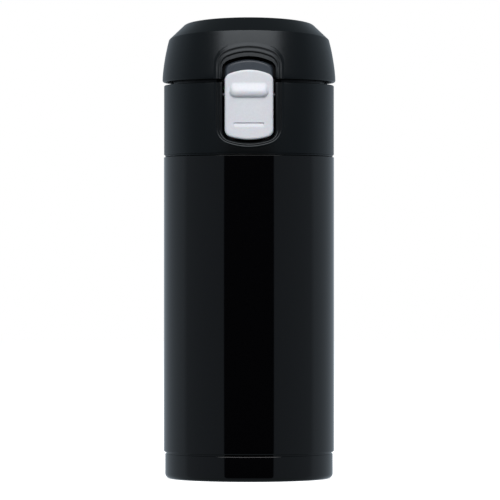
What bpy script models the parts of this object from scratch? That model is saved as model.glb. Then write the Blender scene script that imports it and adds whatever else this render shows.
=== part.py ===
"""Vacuum flask with a one-push flip lid, in metres, +Z up.

The origin is the centre of the base and the front, with the lever, faces -Y.
The bottle is a welded double wall of steel with a threaded neck. The cap unit
screws onto the neck and carries the lid's hinge at the rear and the release
lever at the front. The lock slider rides on the lever.
"""
import math

import bmesh
import bpy
from mathutils import Vector

# Bottle: radii are outside sizes, heights are from the base.
BODY_RADIUS = 0.0330
BODY_TOP = 0.1244
BODY_CORNER = 0.0012
STEEL_WALL = 0.0006
FOOT_STEP = 0.0005
FOOT_HEIGHT = 0.0097
FOOT_CORNER = 0.0020
FOOT_WALL = 0.0008
FOOT_GROOVE = 0.0006
SPIGOT_LENGTH = 0.0040
SHOULDER_WIDTH = 0.0096
NECK_AIR = 0.0031
LINER_WALL = 0.0005
LINER_FLOOR = 0.0080
LINER_CORNER = 0.0060
VACUUM_GAP = 0.0028
LIP_HEIGHT = 0.0006
PLATE_LIFT = 0.0030
PLATE_RIM = 0.0050
PORT_RADIUS = 0.0015
PLUG_FLANGE = 0.0026
FOIL_THICKNESS = 0.0002
GETTER_RADIUS = 0.0050
GETTER_HEIGHT = 0.0018

# Thread: a rolled round bead, with the cap's bead half a lead above the neck's.
THREAD_LEAD = 0.0040
THREAD_TURNS = 1.5
THREAD_BEAD = 0.00075
THREAD_STAND = 0.0011
THREAD_CLEAR = 0.0005
THREAD_START = 0.0046

# Cap unit
COLLAR_SEAM = 0.0008
COLLAR_HEIGHT = 0.0271
COLLAR_INSET = 0.00005
COLLAR_WALL = 0.00195
SKIRT_WALL = 0.0019
SKIRT_LIFT = 0.0010
DECK_DROP = 0.0010
DECK_THICKNESS = 0.0020
DRIP_RING_HEIGHT = 0.0042
DRIP_RING_INSET = 0.0038
DRIP_RING_WALL = 0.0015
SPOUT_STEP = 0.0026
SPOUT_WALL = 0.0018
SPOUT_HEIGHT = 0.0092
SPOUT_FLANGE = 0.0017
STOPPER_CLEAR = 0.0024
STOPPER_WALL = 0.0020
STOPPER_LENGTH = 0.0155
STOPPER_FLANGE = 0.0031
FLANGE_THICKNESS = 0.0015
GASKET_HEIGHT = 0.0018
GASKET_LIFT = 0.0021
GASKET_DEPTH = 0.0007
O_RING_RADIUS = 0.0004

# Lid: heights are at its sides. The top slopes up towards the front.
LID_GAP = 0.0011
LID_FLARE = 0.0006
LID_BROW = 0.0042
LID_RIM = 0.0009
LID_WALL = 0.0018
LID_LEAN = 0.0611
LID_CROWN = 6.68
LID_SLOPE = math.radians(4.3)
LID_SLOPE_START = 0.0046
CHAMFER_WIDTH = 0.00606
CHAMFER_HEIGHT = 0.0058
DOME_HEIGHT = 0.0005
INNER_SKIRT = 0.0009
INNER_LIFT = 0.0010
INNER_CEILING = 0.0094
INNER_DISC = 0.0022
INNER_WALL = 0.0008
INNER_POST = 0.0016
SEAL_DEPTH = 0.0035
SEAL_FIT = 0.0003
SEAL_TAPER = 0.0010
SEAL_NOSE = 0.0027
HOLDER_WALL = 0.0020

# Hinge at the rear
HINGE_OFFSET = 0.0030
KNUCKLE_RADIUS = 0.0023
HINGE_PIN_RADIUS = 0.0011
HINGE_PIN_HALF = 0.0108
LUG_FROM = 0.0039
LUG_TO = 0.0067
ARM_TO = 0.0110
LUG_TAIL = 0.0078
LID_SPRING_WIRE = 0.0004
LID_SPRING_RADIUS = 0.0019
LID_SPRING_TURNS = 5

# Lever and slider: outlines are seen from the front, with arcs top and bottom.
SLIDER_HALF = 0.00925
SLIDER_BOTTOM = 0.0051
LEVER_RISE = 0.0086
SLIDER_TRAVEL = 0.0040
SLIDER_PROUD = 0.00025
SLIDER_WALL = 0.0013
SLIDER_CORNER = 0.0028
TOP_ARC = 0.0200
BOTTOM_ARC = 0.0240
LEVER_INSET = 0.0003
LEVER_WALL = 0.0013
LEVER_PIN_RADIUS = 0.0009
LEVER_PIN_GRIP = 0.0012
LEVER_PIN_DROP = 0.0049
LEVER_PIN_DEPTH = 0.0016
LEVER_BOSS = 0.0019
LEVER_BOSS_FROM = 0.0048
LEVER_BOSS_TO = 0.0071
LEVER_SPRING_WIRE = 0.00025
LEVER_SPRING_RADIUS = 0.00145
LEVER_SPRING_TURNS = 4
LEVER_SPRING_REST = 0.00035
RIB_HALF = 0.0071
RIB_PROUD = 0.0017
RIB_DROP = 0.0057
RIB_HEIGHT = 0.0040
MARK_HALF = 0.0057
MARK_HEIGHT = 0.0016
MARK_LIFT = 0.0059
MARK_DEPTH = 0.00035
KEY_HALF = 0.0019
KEY_HEIGHT = 0.0035
KEY_LIFT = 0.0067
DETENT_HALF = 0.0035
DETENT_DROP = 0.0039
DETENT_THICKNESS = 0.0004
HOOK_HALF = 0.0045
HOOK_REACH = 0.0011
HOOK_HEIGHT = 0.0018
HOOK_DROP = 0.0017
CATCH_HALF = 0.0050
CATCH_DEPTH = 0.0010
CATCH_HEIGHT = 0.0020

# Pocket and the raised frame round it
POCKET_GAP = 0.00055
POCKET_LOW = 0.0009
POCKET_HIGH = 0.0008
POCKET_CORNER = 0.0032
POCKET_DEPTH = 0.0067
CHEEK = 0.0026
CHEEK_SINK = 0.0015
FLOOR_THICKNESS = 0.0016
FRAME_PROUD = 0.0007
FRAME_SIDE = 0.0028
FRAME_HIGH = 0.0038
FRAME_LOW = 0.0018
FRAME_CORNER = 0.0065
FRAME_SINK = 0.0006

# Fits
TOUCH = 0.0003
EDGE = 0.0005
BIG = 0.0100

# Facets
ROUND = 36
SMALL_ROUND = 24
CURVED = 72
CORNER_STEPS = 3
SPRING_STEPS = 12

# Radii that follow
FOOT_RADIUS = BODY_RADIUS - FOOT_STEP
NECK_RADIUS = BODY_RADIUS - SHOULDER_WIDTH
LINER_RADIUS = BODY_RADIUS - STEEL_WALL - VACUUM_GAP
LINER_NECK = NECK_RADIUS - STEEL_WALL - TOUCH
STOPPER_RADIUS = LINER_NECK - LINER_WALL - STOPPER_CLEAR
SPOUT_RADIUS = STOPPER_RADIUS - SPOUT_STEP
COLLAR_RADIUS = BODY_RADIUS - COLLAR_INSET
COLLAR_BORE = COLLAR_RADIUS - COLLAR_WALL
SKIRT_BORE = NECK_RADIUS + THREAD_STAND + THREAD_CLEAR
SKIRT_RADIUS = SKIRT_BORE + SKIRT_WALL
DRIP_RING = BODY_RADIUS - DRIP_RING_INSET
LID_RADIUS = BODY_RADIUS + LID_FLARE
SLIDER_FRONT = COLLAR_RADIUS + SLIDER_PROUD
SLIDER_BACK = SLIDER_FRONT - SLIDER_WALL
LEVER_FRONT = SLIDER_BACK - TOUCH
LEVER_BACK = LEVER_FRONT - LEVER_WALL
POCKET_BACK = SLIDER_FRONT - POCKET_DEPTH
POCKET_HALF = SLIDER_HALF + POCKET_GAP
LEVER_PIN_HALF = POCKET_HALF + LEVER_PIN_GRIP

# Heights that follow
COLLAR_BOTTOM = BODY_TOP + COLLAR_SEAM
COLLAR_TOP = COLLAR_BOTTOM + COLLAR_HEIGHT
DECK_TOP = COLLAR_TOP - DECK_DROP
DECK_BOTTOM = DECK_TOP - DECK_THICKNESS
SKIRT_BOTTOM = COLLAR_BOTTOM + SKIRT_LIFT
SPOUT_TOP = DECK_TOP + SPOUT_HEIGHT
STOPPER_TOP = DECK_BOTTOM - TOUCH
FLANGE_BOTTOM = STOPPER_TOP - FLANGE_THICKNESS
STOPPER_BOTTOM = FLANGE_BOTTOM - STOPPER_LENGTH
LIP_TOP = FLANGE_BOTTOM - NECK_AIR
NECK_TOP = LIP_TOP - LIP_HEIGHT - TOUCH
LID_BOTTOM = COLLAR_TOP + LID_GAP
INNER_BOTTOM = LID_BOTTOM + INNER_LIFT
INNER_UNDER = LID_BOTTOM + INNER_CEILING
SLIDER_LOW = COLLAR_BOTTOM + SLIDER_BOTTOM
LEVER_LOW = SLIDER_LOW + LEVER_INSET
LEVER_TOP = COLLAR_TOP + LEVER_RISE
SLIDER_TOP = LEVER_TOP - SLIDER_TRAVEL
POCKET_BOTTOM = SLIDER_LOW - POCKET_LOW
POCKET_TOP = LEVER_TOP + POCKET_HIGH
FRAME_TOP = POCKET_TOP + FRAME_HIGH
LID_CREASE = FRAME_TOP + LID_BROW

# Joint axes
HINGE_Y = BODY_RADIUS + HINGE_OFFSET
HINGE_Z = COLLAR_TOP + LID_GAP / 2
LEVER_PIN_Y = -(LEVER_BACK - LEVER_PIN_DEPTH)
LEVER_PIN_Z = COLLAR_TOP - LEVER_PIN_DROP

for old in list(bpy.data.objects):
    bpy.data.objects.remove(old, do_unlink=True)

PARTS = bpy.data.collections.new("vacuum_flask")
CUTTERS = bpy.data.collections.new("cutters")
bpy.context.scene.collection.children.link(PARTS)
bpy.context.scene.collection.children.link(CUTTERS)


def material(name, colour, roughness, metallic=0.0):
    """A plain Principled material."""
    mat = bpy.data.materials.new(name)
    mat.use_nodes = True
    shader = mat.node_tree.nodes["Principled BSDF"]
    shader.inputs["Base Color"].default_value = (*colour, 1.0)
    shader.inputs["Roughness"].default_value = roughness
    shader.inputs["Metallic"].default_value = metallic
    return mat


GLOSS_BLACK = material("gloss_black_paint", (0.012, 0.013, 0.015), 0.12)
MATT_BLACK = material("matt_black_plastic", (0.016, 0.017, 0.018), 0.55)
DARK_PLASTIC = material("dark_plastic", (0.02, 0.02, 0.022), 0.45)
WHITE_PLASTIC = material("white_plastic", (0.80, 0.81, 0.83), 0.35)
GREY_PLASTIC = material("grey_plastic", (0.06, 0.068, 0.075), 0.4)
STEEL = material("steel", (0.62, 0.62, 0.63), 0.28, 1.0)
FOIL = material("bright_foil", (0.82, 0.82, 0.83), 0.3, 1.0)
SOLDER = material("solder", (0.55, 0.55, 0.57), 0.4, 1.0)
SILICONE = material("silicone", (0.32, 0.33, 0.34), 0.6)


def link(obj, collection):
    """Put an object in one collection only."""
    for old in list(obj.users_collection):
        old.objects.unlink(obj)
    collection.objects.link(obj)
    return obj


def as_cutter(obj):
    """Hide an object that only shapes others."""
    link(obj, CUTTERS)
    obj.hide_render = True
    obj.display_type = "WIRE"
    return obj


def as_part(obj, name, mat, frame):
    """Name a finished piece, paint it and hang it on its body's empty."""
    link(obj, PARTS)
    obj.name = name
    obj.data.name = name
    obj.data.materials.clear()
    obj.data.materials.append(mat)
    obj.parent = frame
    obj.matrix_parent_inverse = frame.matrix_world.inverted()
    return obj


def body_frame(name, location, parent=None):
    """An empty on a moving body's joint axis."""
    frame = bpy.data.objects.new(name, None)
    frame.empty_display_size = BIG
    PARTS.objects.link(frame)
    frame.location = Vector(location) - (parent.matrix_world.translation if parent else Vector())
    frame.parent = parent
    bpy.context.view_layer.update()
    return frame


def arc(centre, radius, start, stop, steps=CORNER_STEPS):
    """Points on an arc, with angles in degrees."""
    points = []
    for i in range(steps + 1):
        angle = math.radians(start + (stop - start) * i / steps)
        points.append((centre[0] + radius * math.cos(angle), centre[1] + radius * math.sin(angle)))
    return points


def turned(profile, segments=ROUND, closed=True):
    """A profile of (radius, height) turned about Z. It runs down its outer side."""
    mesh = bpy.data.meshes.new("turned")
    count = len(profile)
    edges = [(i, i + 1) for i in range(count - 1)]
    if closed:
        edges.append((count - 1, 0))
    mesh.from_pydata([(radius, 0.0, height) for radius, height in profile], edges, [])
    obj = bpy.data.objects.new("turned", mesh)
    CUTTERS.objects.link(obj)
    screw = obj.modifiers.new("Screw", "SCREW")
    screw.axis = "Z"
    screw.steps = segments
    screw.render_steps = segments
    screw.use_merge_vertices = True
    screw.merge_threshold = 0.000001
    return baked(obj)


def baked(obj):
    """Replace an object's mesh with what its modifiers make of it."""
    bpy.context.view_layer.update()
    depsgraph = bpy.context.evaluated_depsgraph_get()
    mesh = bpy.data.meshes.new_from_object(obj.evaluated_get(depsgraph))
    obj.modifiers.clear()
    obj.data = mesh
    mesh.shade_smooth()
    mesh.set_sharp_from_angle(angle=math.radians(35))
    return obj


def from_curve(curve):
    """A curve as a welded mesh object, at the place that the curve has."""
    bpy.context.view_layer.update()
    depsgraph = bpy.context.evaluated_depsgraph_get()
    mesh = bpy.data.meshes.new_from_object(curve.evaluated_get(depsgraph))
    work = bmesh.new()
    work.from_mesh(mesh)
    bmesh.ops.transform(work, matrix=curve.matrix_world, verts=work.verts)
    bmesh.ops.remove_doubles(work, verts=work.verts, dist=0.000001)
    bmesh.ops.recalc_face_normals(work, faces=work.faces)
    work.to_mesh(mesh)
    work.free()
    obj = bpy.data.objects.new("from_curve", mesh)
    CUTTERS.objects.link(obj)
    bpy.data.objects.remove(curve, do_unlink=True)
    return obj


def prism(outline, start, stop, along="Y"):
    """An outline pushed along Y, as (x, z), or along X, as (y, z)."""
    data = bpy.data.curves.new("outline", "CURVE")
    data.dimensions = "2D"
    data.fill_mode = "BOTH"
    data.extrude = (stop - start) / 2
    spline = data.splines.new("POLY")
    spline.points.add(len(outline) - 1)
    for point, (across, up) in zip(spline.points, outline):
        point.co = (across, up, 0.0, 1.0)
    spline.use_cyclic_u = True
    curve = bpy.data.objects.new("outline", data)
    CUTTERS.objects.link(curve)
    middle = (start + stop) / 2
    if along == "Y":
        curve.rotation_euler = (math.pi / 2, 0.0, 0.0)
        curve.location = (0.0, middle, 0.0)
    else:
        curve.rotation_euler = (math.pi / 2, 0.0, math.pi / 2)
        curve.location = (middle, 0.0, 0.0)
    return from_curve(curve)


def wire(points, radius, sides=1):
    """A round wire through a list of points."""
    data = bpy.data.curves.new("wire", "CURVE")
    data.dimensions = "3D"
    data.bevel_depth = radius
    data.bevel_resolution = sides
    data.use_fill_caps = True
    spline = data.splines.new("POLY")
    spline.points.add(len(points) - 1)
    for point, place in zip(spline.points, points):
        point.co = (*place, 1.0)
    curve = bpy.data.objects.new("wire", data)
    CUTTERS.objects.link(curve)
    return from_curve(curve)


def box(low, high):
    """A box between two corners."""
    bpy.ops.mesh.primitive_cube_add(size=1.0)
    obj = bpy.context.object
    low = Vector(low)
    high = Vector(high)
    obj.scale = high - low
    obj.location = (low + high) / 2
    bpy.ops.object.transform_apply(location=True, rotation=True, scale=True)
    return link(obj, CUTTERS)


def rod(radius, start, stop, centre, segments=SMALL_ROUND):
    """A cylinder along X, with centre as (y, z)."""
    bpy.ops.mesh.primitive_cylinder_add(vertices=segments, radius=radius, depth=stop - start)
    obj = bpy.context.object
    obj.rotation_euler = (0.0, math.pi / 2, 0.0)
    obj.location = ((start + stop) / 2, centre[0], centre[1])
    bpy.ops.object.transform_apply(location=True, rotation=True, scale=True)
    return link(obj, CUTTERS)


def combine(target, tool, operation):
    """Join, cut or intersect, and bake the result."""
    as_cutter(tool)
    boolean = target.modifiers.new(operation.title(), "BOOLEAN")
    boolean.operation = operation
    boolean.solver = "EXACT"
    boolean.object = tool
    return baked(target)


def chamfered(obj, width):
    """A one-step bevel on the sharp edges."""
    bevel = obj.modifiers.new("Bevel", "BEVEL")
    bevel.width = width
    bevel.segments = 1
    bevel.limit_method = "ANGLE"
    bevel.angle_limit = math.radians(50)
    return baked(obj)


def arched_outline(half, low, high, low_arc, high_arc, corner):
    """An upright outline with straight sides, arcs at both ends and round corners."""
    points = []
    for end, radius, sign in ((high, high_arc, 1), (low, low_arc, -1)):
        middle = end - sign * radius
        reach = math.sqrt((radius - corner) ** 2 - (half - corner) ** 2)
        turn = math.degrees(math.atan2(reach, half - corner))
        right = arc((half - corner, sign * reach), corner, 0, turn)
        crown = arc((0.0, 0.0), radius, turn, 180 - turn, 8)[1:-1]
        left = arc((corner - half, sign * reach), corner, 180 - turn, 180)
        if sign > 0:
            points += [(x, middle + z) for x, z in right + crown + left]
        else:
            right = arc((half - corner, reach), corner, 0, turn)
            left = arc((corner - half, reach), corner, 180 - turn, 180)
            points += [(x, middle - z) for x, z in reversed(right + crown + left)]
    return points


def pill_outline(half, low, high):
    """A bar with round ends, from -half to half."""
    radius = (high - low) / 2
    middle = (low + high) / 2
    right = arc((half - radius, middle), radius, -90, 90, 6)
    left = arc((radius - half, middle), radius, 90, 270, 6)
    return right + left


def ring(inner, outer, low, high):
    """A plain tube with fine facets, for curved plates."""
    return turned([(outer, high), (outer, low), (inner, low), (inner, high)], CURVED)


def curved_plate(outline, inner, outer):
    """An outline on the front, curved with the flask's side."""
    heights = [height for _, height in outline]
    plate = prism(outline, -outer - BIG, -inner + BIG)
    return combine(plate, ring(inner, outer, min(heights) - EDGE, max(heights) + EDGE), "INTERSECT")


def lid_wall_radius(height):
    """Outer radius of the lid's side, which leans in and is slightly crowned."""
    rise = height - LID_BOTTOM - LID_RIM
    return LID_RADIUS - LID_LEAN * rise - LID_CROWN * rise * rise


def lid_wall(low, high, offset, steps=5):
    """Points down the lid's side, moved out by offset."""
    points = []
    for i in range(steps + 1):
        height = high + (low - high) * i / steps
        points.append((lid_wall_radius(height) + offset, height))
    return points


def slope_lid(obj):
    """Raise the front of the lid's top and lower its rear."""
    start = LID_BOTTOM + LID_SLOPE_START
    for vertex in obj.data.vertices:
        share = min(max((vertex.co.z - start) / (LID_CREASE - start), 0.0), 1.0)
        vertex.co.z -= vertex.co.y * math.tan(LID_SLOPE) * share
    return obj


def thread_bead(radius, height):
    """A round bead along the thread's helix."""
    points = []
    steps = int(SMALL_ROUND * THREAD_TURNS)
    for i in range(steps + 1):
        turn = THREAD_TURNS * i / steps
        angle = 2 * math.pi * turn
        rise = height + THREAD_LEAD * turn
        points.append((radius * math.cos(angle), radius * math.sin(angle), rise))
    return wire(points, THREAD_BEAD)


def torsion_spring(half, turns, radius, thickness, axis, legs):
    """A coil round an X axis, with legs as end points given as (x, y, z)."""
    points = []
    for i in range(turns * SPRING_STEPS + 1):
        angle = 2 * math.pi * i / SPRING_STEPS
        across = -half + 2 * half * i / (turns * SPRING_STEPS)
        y = axis[0] + radius * math.cos(angle)
        points.append((across, y, axis[1] + radius * math.sin(angle)))
    return wire([legs[0]] + points + [legs[1]], thickness)


# Frames of the moving bodies
bottle = body_frame("bottle_frame", (0.0, 0.0, 0.0))
gasket = body_frame("gasket_frame", (0.0, 0.0, NECK_TOP), bottle)
cap = body_frame("cap_frame", (0.0, 0.0, NECK_TOP), gasket)
lid = body_frame("lid_frame", (0.0, HINGE_Y, HINGE_Z), cap)
lever = body_frame("lever_frame", (0.0, LEVER_PIN_Y, LEVER_PIN_Z), cap)
slider = body_frame("slider_frame", (0.0, -SLIDER_FRONT, SLIDER_LOW), lever)


def make_outer_shell():
    """Steel side, shoulder and neck, with the thread rolled on the neck."""
    low = FOOT_HEIGHT + FOOT_GROOVE
    inside = BODY_RADIUS - STEEL_WALL
    bore = NECK_RADIUS - STEEL_WALL
    profile = [(NECK_RADIUS, NECK_TOP), (NECK_RADIUS, BODY_TOP)]
    profile += reversed(arc((BODY_RADIUS - BODY_CORNER, BODY_TOP - BODY_CORNER), BODY_CORNER, 0, 90))
    profile += arc((BODY_RADIUS - EDGE, low + EDGE), EDGE, 0, -90, 2)
    profile += [(inside, low), (inside, BODY_TOP - BODY_CORNER)]
    profile += [(inside - BODY_CORNER, BODY_TOP - STEEL_WALL), (bore, BODY_TOP - STEEL_WALL)]
    profile += [(bore, NECK_TOP)]
    shell = turned(profile)
    bead_radius = NECK_RADIUS + THREAD_STAND - THREAD_BEAD
    shell = combine(shell, thread_bead(bead_radius, BODY_TOP + THREAD_START), "UNION")
    as_part(shell, "outer_shell", GLOSS_BLACK, bottle)


def make_base_cup():
    """Steel base cap with a flat floor and a spigot inside the shell."""
    spigot = BODY_RADIUS - STEEL_WALL - TOUCH
    inside = spigot - FOOT_WALL
    top = FOOT_HEIGHT + SPIGOT_LENGTH
    profile = [(0.0, FOOT_WALL), (inside - FOOT_CORNER, FOOT_WALL), (inside, FOOT_WALL + FOOT_CORNER)]
    profile += [(inside, top), (spigot, top), (spigot, FOOT_HEIGHT), (FOOT_RADIUS, FOOT_HEIGHT)]
    profile += arc((FOOT_RADIUS - FOOT_CORNER, FOOT_CORNER), FOOT_CORNER, 0, -90)
    profile += [(0.0, 0.0)]
    as_part(turned(profile, closed=False), "base_cup", GLOSS_BLACK, bottle)


def make_vacuum_bottom():
    """Dished plate with the evacuation port in a dimple."""
    outside = BODY_RADIUS - STEEL_WALL - FOOT_WALL - 2 * TOUCH - EDGE
    low = PLATE_LIFT
    high = low + STEEL_WALL
    dimple = PLUG_FLANGE + EDGE
    dish = FOOT_CORNER
    profile = [(outside, low + PLATE_RIM), (outside, low + dish), (outside - dish, low)]
    profile += [(dimple + STEEL_WALL, low), (dimple, high), (PORT_RADIUS, high)]
    profile += [(PORT_RADIUS, high + STEEL_WALL), (dimple, high + STEEL_WALL)]
    profile += [(dimple + STEEL_WALL, high), (outside - dish - STEEL_WALL / 2, high)]
    profile += [(outside - STEEL_WALL, low + dish + STEEL_WALL / 2), (outside - STEEL_WALL, low + PLATE_RIM)]
    as_part(turned(profile), "vacuum_bottom", STEEL, bottle)

    stem = PORT_RADIUS - TOUCH
    seat = high - TOUCH
    profile = [(0.0, high + EDGE), (stem, high + EDGE), (stem, seat), (PLUG_FLANGE, seat)]
    profile += [(PLUG_FLANGE, seat - STEEL_WALL), (0.0, seat - STEEL_WALL)]
    as_part(turned(profile, SMALL_ROUND, closed=False), "vacuum_plug", SOLDER, bottle)


def make_liner():
    """Steel liner with its lip over the neck, the foil round it and the getter below."""
    inside = LINER_RADIUS - LINER_WALL
    mouth = LINER_NECK - LINER_WALL
    shoulder = BODY_TOP - STEEL_WALL - (LINER_RADIUS - LINER_NECK) - VACUUM_GAP
    neck_base = BODY_TOP - VACUUM_GAP
    profile = [(0.0, LINER_FLOOR)]
    profile += arc((inside - LINER_CORNER, LINER_FLOOR + LINER_CORNER), LINER_CORNER, -90, 0)
    profile += [(inside, shoulder), (mouth, neck_base), (mouth, LIP_TOP - EDGE), (mouth + EDGE / 2, LIP_TOP)]
    profile += [(NECK_RADIUS, LIP_TOP), (NECK_RADIUS, NECK_TOP + TOUCH), (LINER_NECK, NECK_TOP + TOUCH)]
    profile += [(LINER_NECK, neck_base), (LINER_RADIUS, shoulder)]
    corner = LINER_CORNER + LINER_WALL
    low = LINER_FLOOR - LINER_WALL
    profile += arc((LINER_RADIUS - corner, low + corner), corner, 0, -90)
    profile += [(0.0, low)]
    as_part(turned(profile, closed=False), "inner_liner", STEEL, bottle)

    foil = LINER_RADIUS + TOUCH
    foil_low = LINER_FLOOR + LINER_CORNER
    profile = [(foil + FOIL_THICKNESS, shoulder), (foil + FOIL_THICKNESS, foil_low), (foil, foil_low)]
    profile += [(foil, shoulder)]
    as_part(turned(profile), "reflective_foil", FOIL, bottle)

    top = low - TOUCH
    profile = [(0.0, top), (GETTER_RADIUS, top), (GETTER_RADIUS, top - GETTER_HEIGHT + EDGE)]
    profile += [(GETTER_RADIUS - EDGE, top - GETTER_HEIGHT), (0.0, top - GETTER_HEIGHT)]
    as_part(turned(profile, SMALL_ROUND, closed=False), "getter", SOLDER, bottle)


def make_collar():
    """Matt ring with the front pocket in its raised frame and the hinge lugs behind."""
    profile = [(COLLAR_RADIUS - EDGE, COLLAR_TOP), (COLLAR_RADIUS, COLLAR_TOP - EDGE)]
    profile += [(COLLAR_RADIUS, COLLAR_BOTTOM + EDGE), (COLLAR_RADIUS - EDGE, COLLAR_BOTTOM)]
    profile += [(COLLAR_BORE, COLLAR_BOTTOM), (COLLAR_BORE, COLLAR_TOP)]
    sleeve = turned(profile)

    proud = ring(COLLAR_RADIUS - FRAME_SINK, COLLAR_RADIUS + FRAME_PROUD,
                 COLLAR_BOTTOM + TOUCH, COLLAR_TOP - TOUCH)
    frame = combine(frame_prism(), proud, "INTERSECT")
    sleeve = combine(sleeve, frame, "UNION")

    cheek = POCKET_HALF + CHEEK
    floor = POCKET_BOTTOM - FLOOR_THICKNESS
    back = -POCKET_BACK - 2 * TOUCH
    front = CHEEK_SINK - COLLAR_BORE
    cheeks = box((-cheek, front, floor), (cheek, back, COLLAR_TOP - 2 * EDGE))
    sill = box((EDGE - SLIDER_HALF, -COLLAR_BORE - EDGE, floor + TOUCH),
               (SLIDER_HALF - EDGE, back - EDGE, COLLAR_TOP - BIG))
    sleeve = combine(sleeve, cheeks, "UNION")
    sleeve = combine(sleeve, sill, "UNION")

    for side in (-1, 1):
        ends = sorted((side * LUG_FROM, side * LUG_TO))
        sleeve = combine(sleeve, prism(lug_outline(), ends[0], ends[1], "X"), "UNION")
    sleeve = combine(sleeve, pocket_prism(), "DIFFERENCE")
    hole = LEVER_PIN_RADIUS + TOUCH
    reach = LEVER_PIN_HALF + TOUCH
    sleeve = combine(sleeve, rod(hole, -reach, reach, (LEVER_PIN_Y, LEVER_PIN_Z)), "DIFFERENCE")
    hole = HINGE_PIN_RADIUS + TOUCH
    sleeve = combine(sleeve, rod(hole, -LUG_TO - EDGE, LUG_TO + EDGE, (HINGE_Y, HINGE_Z)), "DIFFERENCE")
    as_part(sleeve, "collar", MATT_BLACK, cap)


def frame_prism():
    """The raised frame's outline, through the front of the collar and the lid."""
    half = POCKET_HALF + FRAME_SIDE
    low = POCKET_BOTTOM - FRAME_LOW
    outline = arched_outline(half, low, FRAME_TOP, BOTTOM_ARC, TOP_ARC + FRAME_SIDE, FRAME_CORNER)
    return prism(outline, -LID_RADIUS - BIG, -SKIRT_RADIUS)


def pocket_prism():
    """The pocket's outline, through the front of the collar and the lid."""
    outline = arched_outline(POCKET_HALF, POCKET_BOTTOM, POCKET_TOP, BOTTOM_ARC, TOP_ARC, POCKET_CORNER)
    return prism(outline, -LID_RADIUS - BIG, -POCKET_BACK)


def lug_outline():
    """A hinge lug on the collar, with a tail down its wall."""
    root = COLLAR_RADIUS - COLLAR_WALL / 2
    knuckle = arc((HINGE_Y, HINGE_Z), KNUCKLE_RADIUS, 180, -60, 10)
    return [(root, COLLAR_TOP - EDGE)] + knuckle + [(root, HINGE_Z - LUG_TAIL)]


def arm_outline():
    """A hinge arm on the lid."""
    root = LID_RADIUS - LID_WALL - TOUCH
    knuckle = arc((HINGE_Y, HINGE_Z), KNUCKLE_RADIUS, 75, -180, 10)
    return [(root, LID_BOTTOM + LUG_TAIL / 2)] + knuckle + [(root, LID_BOTTOM + TOUCH / 2)]


def make_cap_body():
    """Inner moulding: deck, drip ring and threaded skirt, cut flat behind the pocket."""
    ring_top = DECK_TOP + DRIP_RING_HEIGHT
    bore = SPOUT_RADIUS + SPOUT_FLANGE + TOUCH
    outside = COLLAR_BORE - TOUCH
    ring_bore = DRIP_RING - DRIP_RING_WALL
    profile = [(DRIP_RING, ring_top), (DRIP_RING, DECK_TOP), (outside, DECK_TOP), (outside, DECK_BOTTOM)]
    profile += [(SKIRT_RADIUS, DECK_BOTTOM), (SKIRT_RADIUS, SKIRT_BOTTOM), (SKIRT_BORE, SKIRT_BOTTOM)]
    profile += [(SKIRT_BORE, DECK_BOTTOM), (bore, DECK_BOTTOM), (bore, DECK_TOP)]
    profile += [(ring_bore, DECK_TOP), (ring_bore, ring_top)]
    inner = turned(profile)
    bead_radius = SKIRT_BORE - THREAD_STAND + THREAD_BEAD + THREAD_CLEAR
    bead = thread_bead(bead_radius, BODY_TOP + THREAD_START + THREAD_LEAD / 2)
    inner = combine(inner, bead, "UNION")
    half = POCKET_HALF + CHEEK + TOUCH
    flat = box((-half, -BODY_RADIUS, SKIRT_BOTTOM - BIG), (half, -POCKET_BACK, ring_top + BIG))
    inner = combine(inner, flat, "DIFFERENCE")
    as_part(inner, "cap_body", DARK_PLASTIC, cap)


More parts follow.
